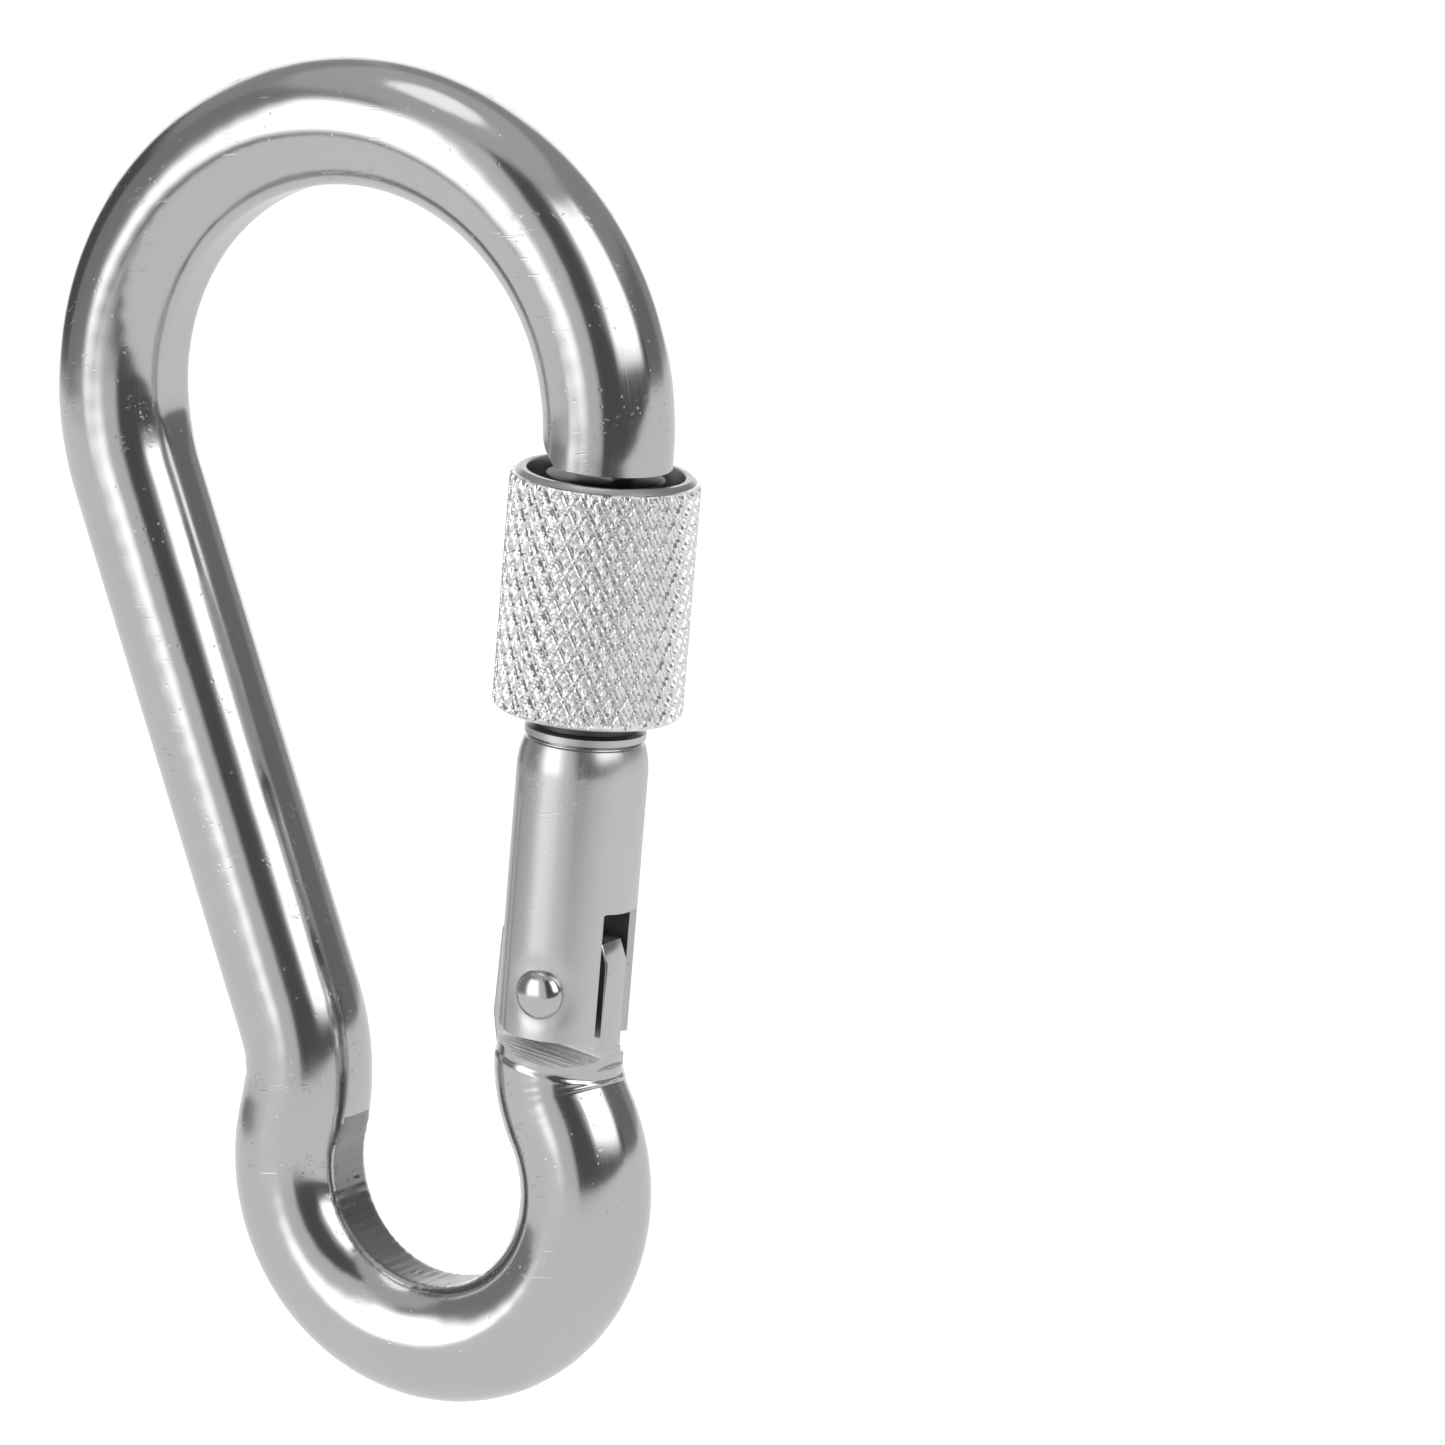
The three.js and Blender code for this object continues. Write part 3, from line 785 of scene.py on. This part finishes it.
def gate_rings():
    """The gate's skin, as (radius, height) pairs: the sleeve, its neck, the thread and the plain top."""
    columns = GATE_COLUMNS
    heights, angles, threaded = thread_rings(columns)
    groove = 0.12  # height of the narrow groove under the thread
    rise = THREAD_BOTTOM - SHANK_TOP
    below = [(SKIN_R, z) for z in np.arange(CHEEK_BOTTOM, 3.0, 0.12)]
    below += [(SKIN_R, z) for z in np.arange(3.2, SHANK_TOP - 0.2, 0.4)]
    below += [
        (SKIN_R - (SKIN_R - SHANK_NECK) * t ** 2, SHANK_TOP + (rise - groove) * t)
        for t in np.linspace(0, 1, 12)[:-1]
    ]
    below += [(SHANK_NECK, THREAD_BOTTOM - groove), (SHANK_NECK - 0.14, THREAD_BOTTOM - 0.05),
              (SHANK_NECK - 0.16, THREAD_BOTTOM)]
    above = [(THREAD_CREST, z) for z in np.linspace(THREAD_TOP + 0.3, GATE_TOP - 0.35, 5)]
    above += [(THREAD_CREST - 0.1, GATE_TOP - 0.08), (THREAD_CREST - 0.3, GATE_TOP)]
    radii = [r for r, _ in below] + list(threaded) + [r for r, _ in above]
    levels = [z for _, z in below] + list(heights) + [z for _, z in above]
    rings = np.array([level_ring(r, z, angles) for r, z in zip(radii, levels)])
    on_shank = ease(np.array(levels), SHANK_TOP - 0.5, SHANK_TOP - 1.5)
    line = np.abs(angles - DRAWN_LINE) < math.pi / columns
    pressed_in = 1 - DRAWN_LINE_DEPTH / SKIN_R * on_shank[:, None] * line[None, :]
    rings[:, :, 0] = (rings[:, :, 0] + PIN_OFFSET) * pressed_in - PIN_OFFSET
    rings[:, :, 1] *= pressed_in
    from_pin = np.hypot(rings[:, :, 0], rings[:, :, 2])
    dent = DENT_DEPTH * np.exp(-((from_pin - HEAD_R) / DENT_WIDTH) ** 2)
    on_cheek = np.abs(rings[:, :, 1]) > 2
    rings[:, :, 1] -= np.sign(rings[:, :, 1]) * dent * on_cheek
    return rings, np.array(levels)


def across_gate():
    """The gate's frame turned so that its Z axis runs along the pin."""
    return gate_frame @ Matrix.Rotation(math.pi / 2, 4, "X")


def round_cutter(name, radius, low, high, columns=48, across=False, x=0.0):
    """A round bar up the gate, or along the pin."""
    profile = [(radius, low), (radius, high)]
    place = across_gate() if across else gate_frame
    return turned_object(name, profile, columns, place, centre=x)


def corner_cutter():
    """Rounds the cheeks' inner lower corner."""
    corner = -BAR_R - PIN_OFFSET
    low = CHEEK_BOTTOM
    radius = CHEEK_CORNER
    sweep = arc_points(corner + radius, low + radius, radius, 1.5 * math.pi, math.pi, 20)
    outline = [(corner - 1, low - 1), (corner + radius, low - 1), *sweep, (corner - 1, low + radius)]
    return plate_object("corner", outline, -BAR, BAR, gate_frame)


def outer_corner_cutter():
    """Rounds the cheeks' outer lower corner."""
    corner = BAR_R - PIN_OFFSET
    low, radius = CHEEK_BOTTOM, OUTER_CORNER
    sweep = arc_points(corner - radius, low + radius, radius, 1.5 * math.pi, 2 * math.pi, 12)
    outline = [(corner - radius, low - 1), (corner + 1, low - 1),
               (corner + 1, low + radius), *sweep[::-1]]
    return plate_object("outer_corner", outline, -BAR, BAR, gate_frame)


def slot_outline():
    """The slot for the tongue from the side, higher on the inner side of the gate."""
    inner, outer = -BAR_R - PIN_OFFSET, BAR_R - PIN_OFFSET
    low = CHEEK_BOTTOM - 1
    return [(inner - 1, low), (outer + 1, low), (outer + 1, SLOT_TOP), (outer, SLOT_TOP),
            (inner, SLOT_TOP_INNER), (inner - 1, SLOT_TOP_INNER)]


def slot_rim_cutter(side, depth):
    """Takes the sharp edge off the slot's rim on the outer side of the gate."""
    rim = Vector((math.sqrt(SKIN_R ** 2 - (SLOT / 2) ** 2) - PIN_OFFSET, side * SLOT / 2, 0))
    place = gate_frame @ Matrix.Translation(rim * MM) @ Matrix.Rotation(-side * SLOT_RIM_TURN, 4, "Z")
    return block_object("slot_rim", (-depth, -1.5, CHEEK_BOTTOM - 1), (2, 1.5, SLOT_TOP), place)


def gate():
    rings, levels = gate_rings()
    around = np.linspace(0, 2 * math.pi * BAR_R, rings.shape[1] + 1)
    body = grid_object("gate_sleeve", rings, levels, around, gate_frame)
    half = SLOT / 2
    cuts = [
        plate_object("slot", slot_outline(), -half, half, gate_frame),
        block_object("foot", (-BAR, -FOOT, CHEEK_BOTTOM - 1), (FOOT_END, FOOT, FOOT_TOP), gate_frame),
        round_cutter("bore", SPRING_BORE, SLOT_TOP - 1, BORE_TOP, x=-PIN_OFFSET),
        corner_cutter(),
        outer_corner_cutter(),
        slot_rim_cutter(-1, SLOT_RIM_FRONT),
        slot_rim_cutter(1, SLOT_RIM_BACK),
        round_cutter("pin_hole", PIN_R + CHEEK_HOLE_GAP, -BAR, BAR, across=True),
    ]
    combine(body, cuts, "DIFFERENCE")
    neck = KEY_NECK_WIDTH / 2
    head = KEY_HEAD_WIDTH / 2
    neck_box = (KEY_INNER, -neck, GATE_TOP - 1), (KEY_OUTER, neck, KEY_TOP)
    head_box = (KEY_INNER, -head, KEY_TOP - KEY_HEAD), (KEY_OUTER, head, KEY_TOP)
    key = [
        block_object("key_neck", *neck_box, gate_frame, bevel=0.1),
        block_object("key_head", *head_box, gate_frame, bevel=0.15),
    ]
    combine(body, key, "UNION")
    smooth(body)
    return body


def lock_nut():
    """The knurl is a grid whose diagonals run along the two families of grooves."""
    per = 18  # grid steps across one diamond
    columns = KNURLS * per
    step = KNURL_HEIGHT / per
    edge = NUT_EDGE
    rows = round((NUT_TOP - NUT_BOTTOM - 2 * edge) / step)
    heights = NUT_BOTTOM + edge + np.arange(rows + 1) * (NUT_TOP - NUT_BOTTOM - 2 * edge) / rows
    angles = np.arange(columns) * 2 * math.pi / columns
    u = np.arange(columns)[None, :] / per
    v = np.arange(rows + 1)[:, None] / per
    cut = [
        sum(depth * ease(np.abs((family - at + 0.5) % 1.0 - 0.5), half, 0) for at, half, depth in grooves)
        for family, grooves in ((u - v, KNURL_RIGHT), (u + v, KNURL_LEFT))
    ]
    noise = np.random.default_rng(7)
    cut = np.maximum(cut[0], cut[1]) + 0.4 * np.minimum(cut[0], cut[1])
    lump = noise.normal(0, 1, (rows + 1, columns))
    lump = (lump + np.roll(lump, 1, 1) + np.roll(lump, 1, 0) + np.roll(lump, (1, 1), (0, 1))) / 4
    fade = ease(heights, NUT_BOTTOM + edge - 0.1, NUT_BOTTOM + edge + 0.1)
    fade = (fade * ease(heights, NUT_TOP - edge, NUT_TOP - edge - 0.3))[:, None]
    radius = NUT_R - 0.02 - cut * fade + NUT_LUMP * lump * fade - 0.1 * (1 - fade)
    thread_top = NUT_BOTTOM + NUT_THREAD_LENGTH
    above = [(NUT_R - 0.3, NUT_TOP - 0.26), (NUT_R - 0.46, NUT_TOP - 0.08), (NUT_R - 0.58, NUT_TOP),
             (NUT_MOUTH + 0.12, NUT_TOP), (NUT_MOUTH + 0.03, NUT_TOP - 0.05), (NUT_MOUTH, NUT_TOP - 0.15),
             (NUT_MOUTH, thread_top + 0.8), (NUT_THREAD, thread_top), (NUT_THREAD, NUT_BOTTOM + 0.3)]
    below = [(NUT_THREAD + 0.25, NUT_BOTTOM), (NUT_R - 0.9, NUT_BOTTOM), (NUT_R - 0.4, NUT_BOTTOM + 0.02),
             (NUT_R - 0.2, NUT_BOTTOM + 0.16)]
    profile = below + list(zip(radius, heights)) + above
    rings = np.array([level_ring(r, z, angles) for r, z in profile])
    return ring_object("lock_nut_body", rings, gate_frame)


def ring_object(name, rings, place):
    """A closed ring-shaped skin: the last ring joins back to the first."""
    rows, columns = rings.shape[:2]
    faces = []
    for i in range(rows):
        below, above = i * columns, ((i + 1) % rows) * columns
        for j in range(columns):
            k = (j + 1) % columns
            faces.append((below + j, below + k, above + k, above + j))
    return new_object(name, rings.reshape(-1, 3), faces, None, place)


def rivet():
    """The hinge pin and its two domed heads."""
    rise = HEAD_TOP - HEAD_SEAT - HEAD_RIM
    dome = [
        (HEAD_R * math.cos(t), HEAD_SEAT + HEAD_RIM + rise * math.sin(t))
        for t in np.linspace(0, 1.5, 14)
    ]
    seat = [(PIN_R, HEAD_SEAT), (HEAD_R - HEAD_EDGE, HEAD_SEAT), (HEAD_R, HEAD_SEAT + HEAD_EDGE)]
    upper = seat + dome
    profile = [(r, -z) for r, z in reversed(upper)] + upper
    obj = turned_object("rivet", profile, 64, across_gate(), centre=0)
    smooth(obj, 40)
    return obj


def plunger():
    """The pusher: a round-tipped stem with a collar for the spring."""
    tip = [(PLUNGER_R * math.sin(t), TIP_HEIGHT + PLUNGER_R * (1 - math.cos(t)))
           for t in np.linspace(0.05, math.pi / 2, 12)]
    top = COLLAR_HEIGHT + COLLAR_THICKNESS
    profile = tip + [(PLUNGER_R, COLLAR_HEIGHT), (PLUNGER_COLLAR - 0.1, COLLAR_HEIGHT),
                     (PLUNGER_COLLAR, COLLAR_HEIGHT + 0.1), (PLUNGER_COLLAR, top - 0.1),
                     (PLUNGER_COLLAR - 0.1, top)]
    obj = turned_object("pusher", profile, 48, gate_frame)
    smooth(obj, 40)
    return obj


def spring():
    """The coil spring between the pusher's collar and the end of the bore."""
    wire = SPRING_WIRE / 2
    low = COLLAR_HEIGHT + COLLAR_THICKNESS + wire + 0.3
    high = BORE_TOP - wire - 0.3
    radius = PLUNGER_COLLAR - wire
    steps = SPRING_TURNS * 40
    sides = 12
    turn = np.linspace(0, 2 * math.pi, sides, endpoint=False)
    up = np.array([0, 0, 1.0])
    rings = []
    for i in range(steps + 1):
        angle = 2 * math.pi * SPRING_TURNS * i / steps
        out = np.array([math.cos(angle), math.sin(angle), 0.0])
        centre = radius * out + np.array([-PIN_OFFSET, 0, low + (high - low) * i / steps])
        rings.append([centre + wire * (math.cos(t) * out + math.sin(t) * up) for t in turn])
    rings = np.array(rings)
    along = np.linspace(0, 2 * math.pi * radius * SPRING_TURNS, steps + 1)
    around = np.linspace(0, 2 * math.pi * wire, sides + 1)
    obj = grid_object("return_spring", rings[:, ::-1], along, around, gate_frame)
    smooth(obj, 60)
    return obj


# ------------------------------------------------------------------ materials
def steel(name, base, roughness, streak=0.25, scratches=0.5, bump=0.25, metal=1.0, filed=False):
    """Worn bright steel: fine polishing lines along the grain, crossing scratches and small pits.

    A filed surface has coarse tool marks across the gate instead of the polishing lines.
    """
    material, n = node_material(name)
    grain = n.add("ShaderNodeUVMap", {"uv_map": "grain"}).outputs[0]
    place = n.add("ShaderNodeTexCoord").outputs["Object"]

    def noise(vector, scale, detail=2.0):
        made = n.add("ShaderNodeTexNoise", Vector=vector, Scale=scale, Detail=detail)
        return made.outputs["Fac"]

    def stretched(vector, turn, size):
        made = n.add("ShaderNodeMapping", Vector=vector)
        made.inputs["Rotation"].default_value = turn
        made.inputs["Scale"].default_value = size
        return made.outputs[0]

    if filed:
        lines = noise(stretched(place, (0, GATE_LEAN - SHOULDER_TILT, 0), (150, 5000, 400)), 1.0, 3.0)
    else:
        lines = noise(stretched(grain, (0, 0, 0), (0.12, 9.0, 1.0)), 1.0, 3.0)
    cloud = noise(place, 130.0, 3.0)
    marks = 0.0
    for index, (angle, density) in enumerate(((0.35, 1.0), (1.15, 0.8), (2.2, 0.9), (2.75, 0.7))):
        turned = stretched(place, (angle, angle * 1.7, 0.6 * angle), (180, 3600, 3600))
        field = noise(turned, 1.0, 1.0)
        hair = n.ramp(field, 0.69, 0.72 + 0.01 * index)
        marks = n.math("MAXIMUM", marks, n.math("MULTIPLY", hair, density))
    patch = n.ramp(noise(place, 320.0), 0.52, 0.68)
    marks = n.math("MULTIPLY", marks, patch)
    pits = n.add("ShaderNodeTexVoronoi", Vector=place, Scale=1500.0).outputs["Distance"]
    pit = n.math("MULTIPLY", n.ramp(pits, 0.16, 0.08), n.ramp(noise(place, 500.0), 0.47, 0.6))
    rough = n.math("ADD", roughness, n.math("MULTIPLY", n.math("SUBTRACT", lines, 0.5), streak * 0.35))
    rough = n.math("ADD", rough, n.math("MULTIPLY", n.math("ADD", marks, pit), 0.25 * scratches))
    tone = n.math("ADD", 1.0, n.math("MULTIPLY", n.math("SUBTRACT", cloud, 0.5), 0.10))
    tone = n.math("MULTIPLY", tone, base)
    colour = n.add("ShaderNodeCombineColor", Red=tone, Green=tone, Blue=tone).outputs[0]
    height = n.math("MULTIPLY", lines, 0.35 * streak)
    height = n.math("SUBTRACT", height, n.math("MULTIPLY", n.math("ADD", marks, pit), scratches))
    relief = n.add("ShaderNodeBump", Height=height)
    relief.inputs["Strength"].default_value = bump
    relief.inputs["Distance"].default_value = 0.00015 if filed else 0.00002
    paint = n.add("ShaderNodeBsdfPrincipled", Base_Color=colour, Roughness=rough)
    paint.inputs["Metallic"].default_value = metal
    n.tree.links.new(relief.outputs[0], paint.inputs["Normal"])
    n.add("ShaderNodeOutputMaterial", Surface=paint.outputs[0])
    return material


def refinish(obj, material, chosen):
    """Gives some of a piece's faces their own finish.

    chosen(centre, facing) gets the face's centre in the gate's frame, and how far it faces up the gate.
    """
    obj.data.materials.append(material)
    index = len(obj.data.materials) - 1
    to_gate = gate_frame.inverted()
    for polygon in obj.data.polygons:
        if chosen((to_gate @ polygon.center) / MM, polygon.normal.dot(gate_up)):
            polygon.material_index = index


def off_axis(centre):
    """Distance from the gate's axis."""
    return math.hypot(centre.x + PIN_OFFSET, centre.y)


def is_shoulder(centre, facing):
    """The filed floor beside the tongue."""
    return SHOULDER - 2 < centre.z < SHOULDER + 0.5 and facing > 0.85


def is_thread(centre, facing):
    """The thread and the gate's top, but not the bore inside them: the faces that get the near-black
    painted shade.
    """
    outside = off_axis(centre) > SPRING_BORE + 0.2 or centre.z > BORE_TOP + 1
    return THREAD_BOTTOM + 0.75 < centre.z < GATE_TOP + 0.01 and outside


def is_bare(centre, facing):
    """The nut's bore, its underside and its top face, which get a darker steel than the knurl; on the
    underside the darker tone is painted shade.
    """
    return off_axis(centre) < NUT_R - 0.55 or centre.z > NUT_TOP - 0.28


def is_pressed(centre, facing):
    """The strip inside the eye that the bending former flattened."""
    place = gate_frame @ (centre * MM)
    from_eye = math.hypot(place.x / MM - eye_centre[0], place.z / MM - eye_centre[1])
    return from_eye < EYE_R - SKIN_R + EYE_FLAT + 0.04


def finish_piece(obj, material, body, node):
    """Gives a piece its material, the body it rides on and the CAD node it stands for."""
    obj.data.materials.clear()
    obj.data.materials.append(material)
    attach(obj, body)
    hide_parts(node)
    return obj


polished = steel("polished_steel", 0.54, 0.15, streak=0.35, scratches=0.7, bump=0.55)
satin = steel("satin_steel", 0.58, 0.30, streak=0.5, scratches=0.7, bump=0.5)
bright = steel("knurled_steel", 0.84, 0.26, streak=0.0, scratches=0.6, bump=0.5)
milled = steel("milled_steel", 0.95, 0.42, streak=4.0, scratches=0.3, bump=1.0, metal=0.7, filed=True)
pressed = steel("pressed_steel", 0.26, 0.26, streak=0.8, scratches=1.0, bump=0.6)
# Near-black steel for the thread and the gate's top: painted shade of the nut's shadow over the thread.
thread_shade = steel("painted_shade_thread", 0.10, 0.4, streak=0.0)
plain = steel("drawn_steel", 0.45, 0.3)

bar = finish_piece(hook_body(), polished, "hook", "hook_body")
refinish(bar, milled, is_shoulder)
refinish(bar, pressed, is_pressed)
sleeve = finish_piece(gate(), satin, "gate", "gate")
# The thread and the gate's top get the near-black painted shade.
refinish(sleeve, thread_shade, is_thread)
nut = finish_piece(lock_nut(), bright, "nut", "lock_nut")
smooth(nut, 28)
# The nut's bore, top face and underside get the darker plain steel; on the underside it is painted shade,
# so the thread under the nut reflects dark.
refinish(nut, plain, is_bare)
finish_piece(rivet(), polished, "gate", "hinge_rivet")
finish_piece(plunger(), plain, "plunger", "spring_plunger")
coil = finish_piece(spring(), plain, "gate", "gate_spring")
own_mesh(coil)
